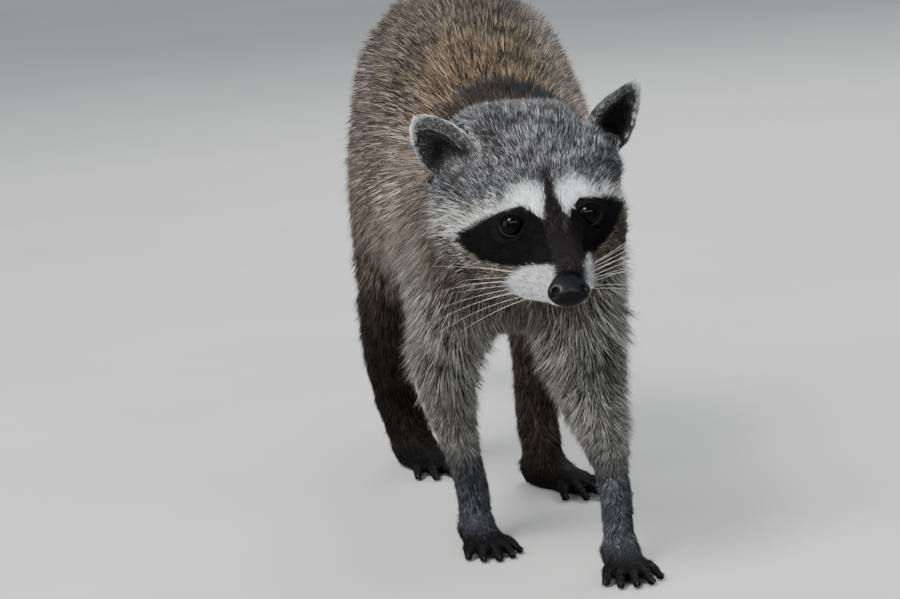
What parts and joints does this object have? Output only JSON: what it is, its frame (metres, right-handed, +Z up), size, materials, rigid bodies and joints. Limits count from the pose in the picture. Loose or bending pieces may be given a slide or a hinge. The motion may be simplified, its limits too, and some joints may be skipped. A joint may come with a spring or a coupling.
{
  "type": "raccoon",
  "caption": "Still life-size raccoon in mid stride, head low, with a dark eye mask, grizzled coat, dark paws and a ringed tail.",
  "frame": {"origin": "on the floor, under the middle of the bounding box", "axes": "the animal faces -Y, its left side is +X, +Z is up; +Y runs from the head to the tail"},
  "size_m": [0.1684, 0.7024, 0.3372],
  "materials": {
    "coat_body": "short coarse fur, grizzled brown-grey with pale bands and dark tips",
    "coat_face": "very short fur, silver-grey with a black mask, white brows and white muzzle sides",
    "coat_legs": "fur, silver-grey on the forelegs and dark brown on the hind legs",
    "coat_tail": "bushy fur in alternating buff and dark rings",
    "paws": "nearly bare black skin with fine short hairs",
    "eyes": "wet gloss, very dark brown",
    "nose": "moist black, finely pebbled",
    "claws": "smooth dark horn",
    "whiskers": "white bristles"
  },
  "bodies": {
    "root": {"head": "coat_face", "jaw": "coat_face", "ear_left": "coat_face", "ear_right": "coat_face", "neck": "coat_body", "trunk": "coat_body", "tail": "coat_tail", "foreleg_left": "coat_legs", "foreleg_right": "coat_legs", "hindleg_left": "coat_legs", "hindleg_right": "coat_legs", "forepaw_left": "paws", "forepaw_right": "paws", "hindpaw_left": "paws", "hindpaw_right": "paws", "eye_left": "eyes", "eye_right": "eyes", "nose": "nose"}
  },
  "joints": []
}
